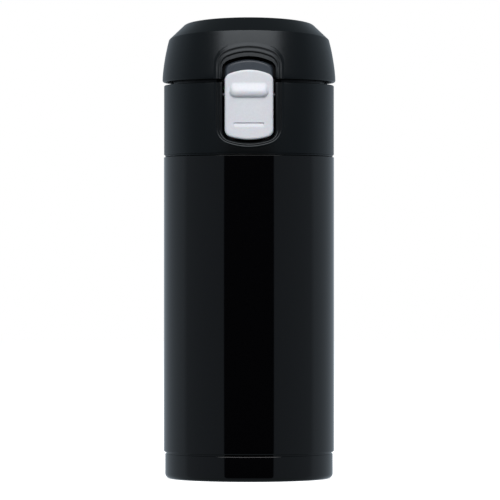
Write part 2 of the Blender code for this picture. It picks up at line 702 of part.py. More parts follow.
def make_stopper():
    """Tube into the mouth, its gasket, the spout above it and the O-ring between them."""
    bore = STOPPER_RADIUS - STOPPER_WALL
    rebate = SPOUT_RADIUS + SPOUT_FLANGE + TOUCH / 2
    rebate_floor = STOPPER_TOP - 2 * O_RING_RADIUS - TOUCH
    root = STOPPER_RADIUS - STOPPER_WALL / 2
    groove_low = STOPPER_BOTTOM + GASKET_LIFT - TOUCH
    groove_high = groove_low + GASKET_HEIGHT + 2 * TOUCH
    flange = STOPPER_RADIUS + STOPPER_FLANGE
    profile = [(flange, STOPPER_TOP), (flange, FLANGE_BOTTOM), (STOPPER_RADIUS, FLANGE_BOTTOM)]
    profile += [(STOPPER_RADIUS, groove_high), (root, groove_high), (root, groove_low)]
    profile += [(STOPPER_RADIUS, groove_low), (STOPPER_RADIUS, STOPPER_BOTTOM), (bore, STOPPER_BOTTOM)]
    profile += [(bore, rebate_floor), (rebate, rebate_floor), (rebate, STOPPER_TOP)]
    as_part(turned(profile), "stopper", DARK_PLASTIC, cap)

    low = groove_low + TOUCH
    high = low + GASKET_HEIGHT
    outside = LINER_NECK - LINER_WALL - TOUCH
    middle = (low + high) / 2
    profile = [(outside, middle + TOUCH), (outside, middle - TOUCH), (STOPPER_RADIUS + GASKET_DEPTH, low)]
    profile += [(root + TOUCH, low), (root + TOUCH, high), (STOPPER_RADIUS + GASKET_DEPTH, high)]
    as_part(turned(profile), "stopper_gasket", SILICONE, gasket)

    inside = SPOUT_RADIUS - SPOUT_WALL
    rim = SPOUT_WALL / 2
    profile = arc((SPOUT_RADIUS - rim, SPOUT_TOP - rim), rim, 180, 0, 6)
    profile += [(SPOUT_RADIUS, DECK_TOP), (SPOUT_RADIUS + SPOUT_FLANGE, DECK_TOP)]
    profile += [(SPOUT_RADIUS + SPOUT_FLANGE, DECK_BOTTOM), (inside, DECK_BOTTOM)]
    as_part(turned(profile), "spout", DARK_PLASTIC, cap)

    middle = rebate - TOUCH - O_RING_RADIUS
    bpy.ops.mesh.primitive_torus_add(major_radius=middle, minor_radius=O_RING_RADIUS,
                                     major_segments=SMALL_ROUND, minor_segments=6,
                                     location=(0, 0, STOPPER_TOP - O_RING_RADIUS))
    o_ring = bpy.context.object
    bpy.ops.object.transform_apply(location=True, rotation=True, scale=True)
    as_part(o_ring, "spout_gasket", SILICONE, cap)


def make_lid():
    """Matt lid with the sloping top, the arch in the raised frame and the hinge arms."""
    top_radius = lid_wall_radius(LID_CREASE) - CHAMFER_WIDTH
    top = LID_CREASE + CHAMFER_HEIGHT
    profile = []
    for i in range(4):
        radius = top_radius * i / 3
        profile.append((radius, top + DOME_HEIGHT * (1 - (i / 3) ** 2)))
    rim = LID_BOTTOM + LID_RIM
    profile += lid_wall(rim, LID_CREASE, 0.0)
    profile += arc((LID_RADIUS - LID_RIM, rim), LID_RIM, 0, -90)[1:]
    profile += [(LID_RADIUS - LID_WALL, LID_BOTTOM)]
    profile += reversed(lid_wall(rim, LID_CREASE - LID_WALL / 2, -LID_WALL))
    profile += [(top_radius - LID_WALL / 2, top - LID_WALL), (0.0, top - LID_WALL + DOME_HEIGHT / 2)]
    shell = slope_lid(turned(profile, closed=False))

    high = FRAME_TOP + EDGE
    outer = lid_wall(LID_BOTTOM + TOUCH, high, FRAME_PROUD)
    inner = reversed(lid_wall(LID_BOTTOM + TOUCH, high, -FRAME_SINK))
    proud = slope_lid(turned(outer + list(inner), CURVED))
    frame = combine(frame_prism(), proud, "INTERSECT")
    shell = combine(shell, frame, "UNION")
    for side in (-1, 1):
        ends = sorted((side * (LUG_TO + TOUCH), side * ARM_TO))
        shell = combine(shell, prism(arm_outline(), ends[0], ends[1], "X"), "UNION")
    shell = combine(shell, pocket_prism(), "DIFFERENCE")
    hole = HINGE_PIN_RADIUS + TOUCH
    shell = combine(shell, rod(hole, -ARM_TO - EDGE, ARM_TO + EDGE, (HINGE_Y, HINGE_Z)), "DIFFERENCE")
    as_part(shell, "lid_shell", MATT_BLACK, lid)


def make_lid_inner():
    """Inner moulding of the lid, with the wall behind the lever, and the catch on it."""
    inside = DRIP_RING + TOUCH + TOUCH / 3
    outside = inside + INNER_SKIRT
    top = INNER_UNDER + INNER_DISC
    corner = INNER_DISC / 2
    profile = [(0.0, top), (outside - 2 * corner, top), (outside, top - 2 * corner), (outside, INNER_BOTTOM)]
    profile += [(inside, INNER_BOTTOM), (inside, INNER_UNDER - corner), (inside - corner, INNER_UNDER)]
    profile += [(0.0, INNER_UNDER)]
    inner = turned(profile, closed=False)
    half = POCKET_HALF + CHEEK
    wall_back = -POCKET_BACK - TOUCH
    wall_front = wall_back - INNER_WALL
    wall = box((-half, wall_front, INNER_BOTTOM), (half, wall_back, top - EDGE))
    room = turned([(0.0, top), (outside - TOUCH, top), (outside - TOUCH, LID_BOTTOM), (0.0, LID_BOTTOM)],
                  closed=False)
    inner = combine(inner, combine(wall, room, "INTERSECT"), "UNION")
    opening = half - INNER_POST
    mouth = box((-opening, -LID_RADIUS, INNER_BOTTOM - BIG), (opening, wall_front, POCKET_TOP + EDGE))
    inner = combine(inner, mouth, "DIFFERENCE")
    as_part(inner, "lid_inner", DARK_PLASTIC, lid)

    catch_top = LEVER_TOP - HOOK_DROP - HOOK_HEIGHT - TOUCH - TOUCH / 3
    catch_back = wall_front - TOUCH
    catch = box((-CATCH_HALF, catch_back - CATCH_DEPTH, catch_top - CATCH_HEIGHT),
                (CATCH_HALF, catch_back, catch_top))
    as_part(chamfered(catch, CATCH_DEPTH / 4), "lid_catch", DARK_PLASTIC, lid)


def make_spout_seal():
    """Silicone plug over the spout and the ring that holds it."""
    bore = SPOUT_RADIUS - SPOUT_WALL
    seat = SPOUT_TOP + TOUCH
    low = SPOUT_TOP - SEAL_DEPTH
    top = INNER_UNDER - TOUCH
    flange = SPOUT_RADIUS + TOUCH
    profile = [(0.0, top), (flange, top), (flange, seat), (bore - SEAL_FIT, seat)]
    profile += [(bore - 3 * SEAL_FIT, low + SEAL_TAPER), (bore - SEAL_NOSE, low), (0.0, low)]
    as_part(turned(profile, closed=False), "spout_seal", SILICONE, lid)

    inside = flange + TOUCH
    outside = inside + HOLDER_WALL
    profile = [(outside, top), (outside, SPOUT_TOP), (inside, SPOUT_TOP), (inside, top)]
    as_part(turned(profile), "seal_holder", DARK_PLASTIC, lid)


def make_hinge():
    """Steel hinge pin and the torsion spring between the lugs."""
    pin = rod(HINGE_PIN_RADIUS, -HINGE_PIN_HALF, HINGE_PIN_HALF, (HINGE_Y, HINGE_Z))
    as_part(pin, "hinge_pin", STEEL, cap)
    half = LUG_FROM - TOUCH - LID_SPRING_WIRE
    leg_y = HINGE_Y - LID_SPRING_RADIUS + 2 * LID_SPRING_WIRE
    low_leg = (-half, HINGE_Y + LID_SPRING_RADIUS, HINGE_Z - LID_SPRING_RADIUS)
    high_leg = (half, leg_y, HINGE_Z + 2 * KNUCKLE_RADIUS)
    coil = torsion_spring(half, LID_SPRING_TURNS, LID_SPRING_RADIUS, LID_SPRING_WIRE, (HINGE_Y, HINGE_Z),
                          (low_leg, high_leg))
    as_part(coil, "lid_spring", STEEL, lid)


def make_lever():
    """Grey lever with its pin bosses, hook and slot, on its pin and spring."""
    outline = arched_outline(SLIDER_HALF, LEVER_LOW, LEVER_TOP, BOTTOM_ARC, TOP_ARC, SLIDER_CORNER)
    plate = curved_plate(outline, LEVER_BACK, LEVER_FRONT)
    centre = (LEVER_PIN_Y, LEVER_PIN_Z)
    for side in (-1, 1):
        ends = sorted((side * LEVER_BOSS_FROM, side * LEVER_BOSS_TO))
        plate = combine(plate, rod(LEVER_BOSS, ends[0], ends[1], centre), "UNION")
    hook_top = LEVER_TOP - HOOK_DROP
    hook_back = HOOK_REACH - LEVER_BACK
    hook = box((-HOOK_HALF, -LEVER_FRONT + EDGE, hook_top - HOOK_HEIGHT), (HOOK_HALF, hook_back, hook_top))
    plate = combine(plate, hook, "UNION")
    clear = LEVER_SPRING_RADIUS + LEVER_SPRING_WIRE + TOUCH
    reach = LEVER_BOSS_FROM - TOUCH
    plate = combine(plate, rod(clear, -reach, reach, centre), "DIFFERENCE")
    bore = LEVER_PIN_RADIUS + TOUCH
    plate = combine(plate, rod(bore, -SLIDER_HALF, SLIDER_HALF, centre), "DIFFERENCE")
    key_low = SLIDER_LOW + KEY_LIFT
    slot_half = KEY_HALF + TOUCH
    slot = box((-slot_half, -SLIDER_FRONT, key_low - EDGE),
               (slot_half, -POCKET_BACK, key_low + KEY_HEIGHT + SLIDER_TRAVEL + EDGE))
    plate = combine(plate, slot, "DIFFERENCE")
    as_part(plate, "release_lever", GREY_PLASTIC, lever)

    pin = rod(LEVER_PIN_RADIUS, -LEVER_PIN_HALF, LEVER_PIN_HALF, centre)
    as_part(pin, "lever_pin", STEEL, cap)
    half = LEVER_BOSS_FROM - 2 * TOUCH - LEVER_SPRING_WIRE
    back = LEVER_PIN_Y + LEVER_SPRING_RADIUS
    rest = -(SKIRT_RADIUS + LEVER_SPRING_REST)
    legs = ((-half, back, LEVER_PIN_Z - 2 * LEVER_BOSS), (half, rest, LEVER_PIN_Z - 3 * LEVER_BOSS))
    coil = torsion_spring(half, LEVER_SPRING_TURNS, LEVER_SPRING_RADIUS, LEVER_SPRING_WIRE, centre, legs)
    as_part(coil, "lever_spring", STEEL, lever)

    leaf_front = TOUCH - LEVER_BACK
    leaf_low = key_low - KEY_HEIGHT
    leaf_high = LEVER_PIN_Z - DETENT_DROP
    leaf = box((-DETENT_HALF, leaf_front, leaf_low), (DETENT_HALF, leaf_front + DETENT_THICKNESS, leaf_high))
    as_part(leaf, "lock_detent", STEEL, lever)


def make_slider():
    """White plate with the finger rib and a key in the lever's slot."""
    outline = arched_outline(SLIDER_HALF, SLIDER_LOW, SLIDER_TOP, BOTTOM_ARC, TOP_ARC, SLIDER_CORNER)
    plate = curved_plate(outline, SLIDER_BACK, SLIDER_FRONT)
    high = SLIDER_TOP - RIB_DROP
    low = high - RIB_HEIGHT
    crest = SLIDER_FRONT + RIB_PROUD
    root = SLIDER_FRONT - EDGE
    profile = [(SLIDER_FRONT - TOUCH, high + EDGE), (crest, (low + high) / 2), (crest, low - EDGE)]
    profile += [(root, low - EDGE), (root, high + EDGE)]
    rib = prism(pill_outline(RIB_HALF, low, high), -crest - BIG, -root + BIG)
    rib = combine(rib, turned(profile, CURVED), "INTERSECT")
    plate = combine(plate, rib, "UNION")
    mark_low = SLIDER_LOW + MARK_LIFT - MARK_HEIGHT / 2
    mark = curved_plate(pill_outline(MARK_HALF, mark_low, mark_low + MARK_HEIGHT), SLIDER_FRONT - MARK_DEPTH,
                        crest)
    plate = combine(plate, mark, "DIFFERENCE")
    key_low = SLIDER_LOW + KEY_LIFT
    key = box((-KEY_HALF, -SLIDER_BACK - EDGE, key_low),
              (KEY_HALF, -LEVER_BACK - TOUCH, key_low + KEY_HEIGHT))
    plate = combine(plate, key, "UNION")
    as_part(plate, "lock_slider", WHITE_PLASTIC, slider)


make_outer_shell()
make_base_cup()
make_vacuum_bottom()
make_liner()
make_collar()
make_cap_body()
make_stopper()
make_lid()
make_lid_inner()
make_spout_seal()
make_hinge()
make_lever()
make_slider()
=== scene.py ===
import math

import bpy
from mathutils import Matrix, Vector


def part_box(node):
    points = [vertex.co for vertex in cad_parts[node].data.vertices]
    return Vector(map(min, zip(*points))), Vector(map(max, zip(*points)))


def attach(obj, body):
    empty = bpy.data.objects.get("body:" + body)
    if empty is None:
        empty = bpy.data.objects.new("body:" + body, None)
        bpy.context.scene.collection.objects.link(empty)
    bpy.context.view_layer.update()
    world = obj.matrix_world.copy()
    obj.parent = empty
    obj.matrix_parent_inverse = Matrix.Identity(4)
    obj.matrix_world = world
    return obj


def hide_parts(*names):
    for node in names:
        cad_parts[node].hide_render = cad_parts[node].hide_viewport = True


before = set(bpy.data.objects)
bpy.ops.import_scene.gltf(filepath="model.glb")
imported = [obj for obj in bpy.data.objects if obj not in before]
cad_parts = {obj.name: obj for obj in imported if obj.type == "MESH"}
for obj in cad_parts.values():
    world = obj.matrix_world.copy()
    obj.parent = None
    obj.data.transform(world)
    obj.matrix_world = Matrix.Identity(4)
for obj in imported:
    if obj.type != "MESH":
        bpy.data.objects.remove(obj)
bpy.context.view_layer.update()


# ---------------------------------------------------------------------------
# Base cup: the steel cap that closes the foot. It is pressed from sheet with a
# shallow ring in its floor, and painted with the body in gloss black.

def fresh():
    """Leave edit mode and select nothing."""
    if bpy.context.object and bpy.context.object.mode != "OBJECT":
        bpy.ops.object.mode_set(mode="OBJECT")
    bpy.ops.object.select_all(action="DESELECT")


def make_active(piece):
    fresh()
    piece.select_set(True)
    bpy.context.view_layer.objects.active = piece


def select_all_in_edit():
    bpy.ops.object.mode_set(mode="EDIT")
    bpy.ops.mesh.select_all(action="SELECT")


def weld_and_face_out():
    """Merge what lies together and turn the faces outwards. The whole mesh is selected."""
    bpy.ops.mesh.select_all(action="SELECT")
    bpy.ops.mesh.remove_doubles(threshold=0.000002)
    bpy.ops.mesh.delete_loose()
    bpy.ops.mesh.select_all(action="SELECT")
    bpy.ops.mesh.normals_make_consistent(inside=False)
    bpy.ops.object.mode_set(mode="OBJECT")


def rounded(corners, steps=6):
    """Turn (radius, height, fillet) corners into points, with an arc at each fillet."""
    points = []
    for i, corner in enumerate(corners):
        here = Vector(corner[:2])
        fillet = corner[2] if len(corner) > 2 else 0.0
        if not fillet:
            points.append(here)
            continue
        back = (Vector(corners[i - 1][:2]) - here).normalized()
        ahead = (Vector(corners[(i + 1) % len(corners)][:2]) - here).normalized()
        half = back.angle(ahead) / 2
        centre = here + (back + ahead).normalized() * fillet / math.sin(half)
        start = here + back * fillet / math.tan(half) - centre
        turn = start.angle_signed(here + ahead * fillet / math.tan(half) - centre)
        for k in range(steps + 1):
            angle = -turn * k / steps
            swing = Vector((start.x * math.cos(angle) - start.y * math.sin(angle),
                            start.x * math.sin(angle) + start.y * math.cos(angle)))
            points.append(centre + swing)
    return points


def traced(name, points):
    """A circle of edges pulled to the points, left selected in edit mode."""
    fresh()
    bpy.ops.mesh.primitive_circle_add(vertices=len(points), radius=0.01)
    piece = bpy.context.object
    piece.name = name
    piece.data.name = name
    for vertex, place in zip(piece.data.vertices, points):
        vertex.co = place
    select_all_in_edit()
    return piece


def shaded(piece, angle=35):
    make_active(piece)
    bpy.ops.object.shade_smooth_by_angle(angle=math.radians(angle))
    return piece


def turned(name, corners, segments=144, steps=6):
    """Spin a profile of (radius, height, fillet) corners about the flask's axis."""
    profile = rounded(corners, steps)
    piece = traced(name, [(point.x, 0.0, point.y) for point in profile])
    bpy.ops.mesh.spin(steps=segments, angle=2 * math.pi, center=(0, 0, 0), axis=(0, 0, 1))
    weld_and_face_out()
    return shaded(piece)


def material(name, colour, roughness, metallic=0.0):
    """A Principled material, with its nodes, links and shader."""
    made = bpy.data.materials.new(name)
    made.use_nodes = True
    nodes = made.node_tree.nodes
    shader = nodes["Principled BSDF"]
    shader.inputs["Base Color"].default_value = (*colour, 1.0)
    shader.inputs["Roughness"].default_value = roughness
    shader.inputs["Metallic"].default_value = metallic
    return made, nodes, made.node_tree.links, shader


def noise(nodes, links, scale, detail=2.0, stretch=(1.0, 1.0, 1.0)):
    """Noise on the piece's own coordinates, in cells of 1 / scale metres."""
    coords = nodes.new("ShaderNodeTexCoord")
    mapping = nodes.new("ShaderNodeMapping")
    mapping.inputs["Scale"].default_value = stretch
    grain = nodes.new("ShaderNodeTexNoise")
    grain.inputs["Scale"].default_value = scale
    grain.inputs["Detail"].default_value = detail
    links.new(coords.outputs["Object"], mapping.inputs["Vector"])
    links.new(mapping.outputs["Vector"], grain.inputs["Vector"])
    return grain.outputs["Fac"]


def between(nodes, links, factor, low, high, socket):
    """Send a noise through a range, into a socket."""
    spread = nodes.new("ShaderNodeMapRange")
    spread.inputs["From Min"].default_value = 0.3
    spread.inputs["From Max"].default_value = 0.7
    spread.inputs["To Min"].default_value = low
    spread.inputs["To Max"].default_value = high
    links.new(factor, spread.inputs["Value"])
    links.new(spread.outputs["Result"], socket)


def tinted(nodes, links, factor, dark, light, socket):
    """Send a noise through two colours, into a socket."""
    ramp = nodes.new("ShaderNodeValToRGB")
    ramp.color_ramp.elements[0].position = 0.3
    ramp.color_ramp.elements[1].position = 0.7
    ramp.color_ramp.elements[0].color = (*dark, 1.0)
    ramp.color_ramp.elements[1].color = (*light, 1.0)
    links.new(factor, ramp.inputs["Fac"])
    links.new(ramp.outputs["Color"], socket)


def bumped(nodes, links, factor, depth, shader):
    """Send a noise into the shader's normal, as a relief of that depth in metres."""
    bump = nodes.new("ShaderNodeBump")
    bump.inputs["Distance"].default_value = depth
    links.new(factor, bump.inputs["Height"])
    links.new(bump.outputs["Normal"], shader.inputs["Normal"])


def finish(piece, body, slot, look, *nodes):
    """Give a piece its look, the body it moves with and the nodes it stands for."""
    piece.data.materials.clear()
    piece.data.materials.append(look)
    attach(piece, body)
    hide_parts(*nodes)
    return piece


gloss_paint, nodes, links, shader = material("gloss_black_paint", (0.0012, 0.0012, 0.0015), 0.06)
tinted(nodes, links, noise(nodes, links, 5200.0), (0.0008, 0.0008, 0.0011), (0.0022, 0.0022, 0.0027),
       shader.inputs["Base Color"])
between(nodes, links, noise(nodes, links, 160.0), 0.035, 0.065, shader.inputs["Roughness"])
bumped(nodes, links, noise(nodes, links, 420.0, 1.0), 0.0000012, shader)

low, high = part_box("base_cup")
foot_radius = high.x
shell_low, shell_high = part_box("outer_shell")
foot_top = shell_low.z - 0.0006
spigot = shell_high.x - 0.0009
spigot_bore = spigot - 0.0008
floor_sheet = 0.0008
ring_lift = 0.0004
ring_inside = 0.0215
ring_outside = 0.0219
foot_round = 0.0020
edge = 0.0003
base_cup = turned("base_cup_shell", [
    (0.0, ring_lift), (ring_inside, ring_lift, edge), (ring_outside, 0.0, edge),
    (foot_radius, 0.0, foot_round), (foot_radius, foot_top, edge), (spigot, foot_top), (spigot, high.z),
    (spigot_bore, high.z), (spigot_bore, floor_sheet + ring_lift, 0.0015),
    (0.0, floor_sheet + ring_lift)], segments=192)
finish(base_cup, "bottle", "gloss_black_paint", gloss_paint, "base_cup")


# ---------------------------------------------------------------------------
# Outer shell: the drawn steel side with its shoulder and neck, painted gloss
# black. A round thread is rolled onto the neck, thinner at both of its ends.

body_radius = shell_high.x
shoulder = 0.1244
neck_radius = 0.0234
neck_top = 0.1435
sheet = 0.0006
shoulder_edge = 0.00008
hem = 0.00055
outer_shell = turned("outer_shell_skin", [
    (neck_radius, neck_top, 0.0002), (neck_radius, shoulder, 0.0010),
    (body_radius, shoulder, shoulder_edge), (body_radius, shell_low.z, hem),
    (body_radius - sheet, shell_low.z), (body_radius - sheet, shoulder - sheet, 0.0010),
    (neck_radius - sheet, shoulder - sheet, 0.0006), (neck_radius - sheet, neck_top)], segments=192)
finish(outer_shell, "bottle", "gloss_black_paint", gloss_paint, "outer_shell")


def swept(name, points, radius, taper=0):
    """A round wire through the points, thinned over some points at both ends."""
    fresh()
    curve = bpy.data.curves.new(name, "CURVE")
    curve.dimensions = "3D"
    curve.bevel_depth = radius
    curve.bevel_resolution = 3
    curve.use_fill_caps = True
    spline = curve.splines.new("POLY")
    spline.points.add(len(points) - 1)
    for i, place in enumerate(points):
        spline.points[i].co = (*place, 1.0)
        end = min(i, len(points) - 1 - i)
        spline.points[i].radius = 0.35 + 0.65 * min(end / taper, 1.0) if taper else 1.0
    piece = bpy.data.objects.new(name, curve)
    bpy.context.collection.objects.link(piece)
    make_active(piece)
    bpy.ops.object.convert(target="MESH")
    piece = bpy.context.object
    select_all_in_edit()
    weld_and_face_out()
    return shaded(piece, 60)


def helix(radius, start, lead, turns, per_turn=72):
    """Points up a right-hand helix about the flask's axis."""
    points = []
    for i in range(int(per_turn * turns) + 1):
        angle = 2 * math.pi * i / per_turn
        points.append((radius * math.cos(angle), radius * math.sin(angle), start + lead * i / per_turn))
    return points


lead = 0.0040
turns = 1.5
bead = 0.00075
thread_start = shoulder + 0.0046
runout = 8
neck_pitch_radius = neck_radius + 0.00035
neck_turns = helix(neck_pitch_radius, thread_start, lead, turns)
neck_thread = swept("neck_thread", neck_turns, bead, taper=runout)
finish(neck_thread, "bottle", "gloss_black_paint", gloss_paint, "outer_shell")


# ---------------------------------------------------------------------------
# Inner liner: the drawn stainless cup that holds the drink. Its lip is rolled
# over the neck and welded there, and its inside keeps the marks of drawing.

steel, nodes, links, shader = material("drawn_steel", (0.62, 0.61, 0.60), 0.25, 1.0)
tinted(nodes, links, noise(nodes, links, 90.0, 3.0, (1.0, 1.0, 12.0)), (0.55, 0.545, 0.54),
       (0.67, 0.665, 0.66), shader.inputs["Base Color"])
between(nodes, links, noise(nodes, links, 260.0, 4.0, (1.0, 1.0, 18.0)), 0.17, 0.34,
        shader.inputs["Roughness"])
bumped(nodes, links, noise(nodes, links, 300.0, 3.0, (1.0, 1.0, 25.0)), 0.000004, shader)

low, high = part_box("inner_liner")
liner_radius = high.x
liner_neck = 0.0225
wall = 0.0005
lip = 0.0006
lip_edge = 0.00025
liner_shoulder = 0.1139
neck_base = 0.1216
liner = turned("inner_liner_cup", [
    (0.0, low.z), (liner_radius, low.z, 0.0065), (liner_radius, liner_shoulder, 0.0030),
    (liner_neck, neck_base, 0.0020), (liner_neck, high.z - lip), (neck_radius, high.z - lip),
    (neck_radius, high.z, lip_edge), (liner_neck - wall, high.z, lip_edge),
    (liner_neck - wall, neck_base, 0.0024), (liner_radius - wall, liner_shoulder, 0.0034),
    (liner_radius - wall, low.z + wall, 0.0060), (0.0, low.z + wall)])
finish(liner, "bottle", "steel", steel, "inner_liner")


# ---------------------------------------------------------------------------
# Inside the vacuum jacket: the dished plate with its evacuation port, the
# metal that seals the port, the getter disc and the foil round the liner.

low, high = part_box("vacuum_bottom")
plate_radius = high.x
port = 0.0015
dimple = 0.0031
vacuum_plate = turned("vacuum_plate", [
    (plate_radius, high.z), (plate_radius, low.z, 0.0020), (dimple + sheet, low.z, 0.0002),
    (dimple, low.z + sheet, 0.0002), (port, low.z + sheet), (port, low.z + 2 * sheet),
    (dimple, low.z + 2 * sheet, 0.0002), (dimple + sheet, low.z + sheet, 0.0002),
    (plate_radius - sheet, low.z + sheet, 0.0016), (plate_radius - sheet, high.z)], segments=96)
finish(vacuum_plate, "bottle", "steel", steel, "vacuum_bottom")

sealing_metal, nodes, links, shader = material("sealing_metal", (0.50, 0.50, 0.52), 0.45, 1.0)
tinted(nodes, links, noise(nodes, links, 1600.0, 4.0), (0.40, 0.40, 0.42), (0.58, 0.58, 0.60),
       shader.inputs["Base Color"])
bumped(nodes, links, noise(nodes, links, 1100.0, 5.0), 0.00006, shader)

low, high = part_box("vacuum_plug")
stem = 0.0012
seat = high.z - 0.0008
solder_plug = turned("solder_plug", [
    (0.0, low.z), (high.x, low.z, 0.0003), (high.x, seat, 0.0001), (stem, seat), (stem, high.z, 0.0003),
    (0.0, high.z)], segments=48)
finish(solder_plug, "bottle", "solder", sealing_metal, "vacuum_plug")

low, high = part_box("getter")
taper_width = 0.0012
taper_height = 0.0006
getter_disc = turned("getter_disc", [
    (0.0, low.z), (high.x - taper_width, low.z, edge), (high.x, low.z + taper_height, edge),
    (high.x, high.z, edge), (0.0, high.z)], segments=48)
finish(getter_disc, "bottle", "solder", sealing_metal, "getter")

foil_look, nodes, links, shader = material("crinkled_foil", (0.80, 0.80, 0.81), 0.28, 1.0)
between(nodes, links, noise(nodes, links, 220.0, 6.0), 0.2, 0.42, shader.inputs["Roughness"])
bumped(nodes, links, noise(nodes, links, 150.0, 6.0), 0.0003, shader)
low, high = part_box("reflective_foil")
foil_inside = high.x - 0.0002
foil_wrap = turned("foil_wrap", [
    (high.x, high.z), (high.x, low.z), (foil_inside, low.z), (foil_inside, high.z)], segments=96)
finish(foil_wrap, "bottle", "foil", foil_look, "reflective_foil")


# ---------------------------------------------------------------------------
# Inner moulding of the cap: the deck under the lid, the ring that catches
# drips, and the threaded skirt. It is black plastic, cut flat behind the lever.

def outlined(half, low, high, low_arc, high_arc, corner, count=200):
    """An upright outline with straight sides, arcs at both ends and round corners, evenly spaced."""
    side = []
    for end, arc, sign in ((high, high_arc, 1), (low, low_arc, -1)):
        reach = math.sqrt((arc - corner) ** 2 - (half - corner) ** 2)
        turn = math.atan2(reach, half - corner)
        ends = []
        for i in range(25):
            angle = math.pi / 2 + (turn - math.pi / 2) * i / 24
            ends.append(Vector((arc * math.cos(angle), end + sign * (arc * math.sin(angle) - arc))))
        for i in range(1, 25):
            angle = turn * (1 - i / 24)
            across = half - corner + corner * math.cos(angle)
            ends.append(Vector((across, end + sign * (reach + corner * math.sin(angle) - arc))))
        side += ends if sign > 0 else list(reversed(ends))
    lengths = [(b - a).length for a, b in zip(side, side[1:])]
    step = sum(lengths) / (count // 2)
    right = [side[0]]
    spare = 0.0
    for start, length, stop in zip(side, lengths, side[1:]):
        while spare + length >= step * len(right) and len(right) < count // 2:
            right.append(start.lerp(stop, (step * len(right) - spare) / length))
        spare += length
    left = [Vector((-point.x, point.y)) for point in reversed(right[1:])]
    return right + [side[-1]] + left


def slab(name, outline, start, stop, along="Y"):
    """An outline pushed along Y, as (x, z), or along X, as (y, z)."""
    if along == "Y":
        points = [(x, start, z) for x, z in outline]
        push = (0, stop - start, 0)
    else:
        points = [(start, y, z) for y, z in outline]
        push = (stop - start, 0, 0)
    piece = traced(name, points)
    bpy.ops.mesh.edge_face_add()
    bpy.ops.mesh.extrude_region_move(TRANSFORM_OT_translate={"value": push})
    weld_and_face_out()
    return piece


def shaped(piece, tool, operation):
    """Cut, join or intersect with a tool, and throw the tool away."""
    make_active(piece)
    boolean = piece.modifiers.new(operation, "BOOLEAN")
    boolean.operation = operation
    boolean.solver = "EXACT"
    boolean.object = tool
    bpy.ops.object.modifier_apply(modifier=boolean.name)
    bpy.data.objects.remove(tool, do_unlink=True)
    return piece


def eased(piece, width, segments=3, angle=40):
    """Round the sharp edges."""
    make_active(piece)
    bevel = piece.modifiers.new("Bevel", "BEVEL")
    bevel.width = width
    bevel.segments = segments
    bevel.limit_method = "ANGLE"
    bevel.angle_limit = math.radians(angle)
    bpy.ops.object.modifier_apply(modifier=bevel.name)
    return piece


def box_outline(low, high):
    """A rectangle's corners."""
    return [(low[0], low[1]), (high[0], low[1]), (high[0], high[1]), (low[0], high[1])]


dark_plastic, nodes, links, shader = material("dark_plastic", (0.012, 0.012, 0.013), 0.38)
tinted(nodes, links, noise(nodes, links, 1800.0, 3.0), (0.010, 0.010, 0.011), (0.014, 0.014, 0.015),
       shader.inputs["Base Color"])
between(nodes, links, noise(nodes, links, 420.0, 3.0), 0.33, 0.43, shader.inputs["Roughness"])
bumped(nodes, links, noise(nodes, links, 2600.0, 2.0), 0.000008, shader)

low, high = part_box("cap_body")
deck_radius = high.x
deck_top = 0.1513
deck_bottom = 0.1493
skirt = 0.0269
skirt_bore = 0.0250
drip_ring = 0.0292
drip_bore = 0.0277
deck_bore = 0.0190
pocket_back = 0.0265
flat_half = 0.0127
spare = 0.01
tool_front = -0.045
cap_body = turned("cap_inner_moulding", [
    (drip_ring, high.z, 0.0005), (drip_ring, deck_top), (deck_radius, deck_top, edge),
    (deck_radius, deck_bottom), (skirt, deck_bottom, 0.0008), (skirt, low.z, edge),
    (skirt_bore, low.z, edge), (skirt_bore, deck_bottom), (deck_bore, deck_bottom),
    (deck_bore, deck_top, edge), (drip_bore, deck_top, 0.0008), (drip_bore, high.z, 0.0005)])
flat_outline = box_outline((-flat_half, low.z - spare), (flat_half, high.z + spare))
flat = slab("flat", flat_outline, tool_front, -pocket_back)
shaded(shaped(cap_body, flat, "DIFFERENCE"))
finish(cap_body, "cap", "dark_plastic", dark_plastic, "cap_body")

cap_pitch_radius = skirt_bore + 0.00015
cap_turns = helix(cap_pitch_radius, thread_start + lead / 2, lead, turns)
cap_thread = swept("cap_thread", cap_turns, bead, taper=runout)
finish(cap_thread, "cap", "dark_plastic", dark_plastic, "cap_body")


# ---------------------------------------------------------------------------
# Stopper and spout: the tube that reaches into the mouth, its grey silicone
# gasket, the drinking spout above the deck and the O-ring clamped between them.

silicone, nodes, links, shader = material("grey_silicone", (0.30, 0.31, 0.32), 0.55)
shader.inputs["Subsurface Weight"].default_value = 0.15
shader.inputs["Subsurface Scale"].default_value = 0.001
tinted(nodes, links, noise(nodes, links, 900.0, 4.0), (0.27, 0.28, 0.29), (0.34, 0.35, 0.36),
       shader.inputs["Base Color"])
between(nodes, links, noise(nodes, links, 500.0, 3.0), 0.48, 0.62, shader.inputs["Roughness"])
bumped(nodes, links, noise(nodes, links, 3000.0, 2.0), 0.00001, shader)

low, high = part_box("stopper")
flange = high.x
flange_low = high.z - 0.0015
tube = 0.0196
bore = 0.0176
rebate = 0.01885
rebate_floor = high.z - 0.0011
groove = 0.0186
gap = 0.0003
gasket_low, gasket_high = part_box("stopper_gasket")
groove_top = gasket_high.z + gap
groove_bottom = gasket_low.z - gap
stopper = turned("stopper_tube", [
    (flange, high.z, edge), (flange, flange_low, edge), (tube, flange_low, edge), (tube, groove_top),
    (groove, groove_top), (groove, groove_bottom), (tube, groove_bottom), (tube, low.z, 0.0006),
    (bore, low.z, 0.0006), (bore, rebate_floor), (rebate, rebate_floor), (rebate, high.z, 0.0002)])
finish(stopper, "cap", "dark_plastic", dark_plastic, "stopper")

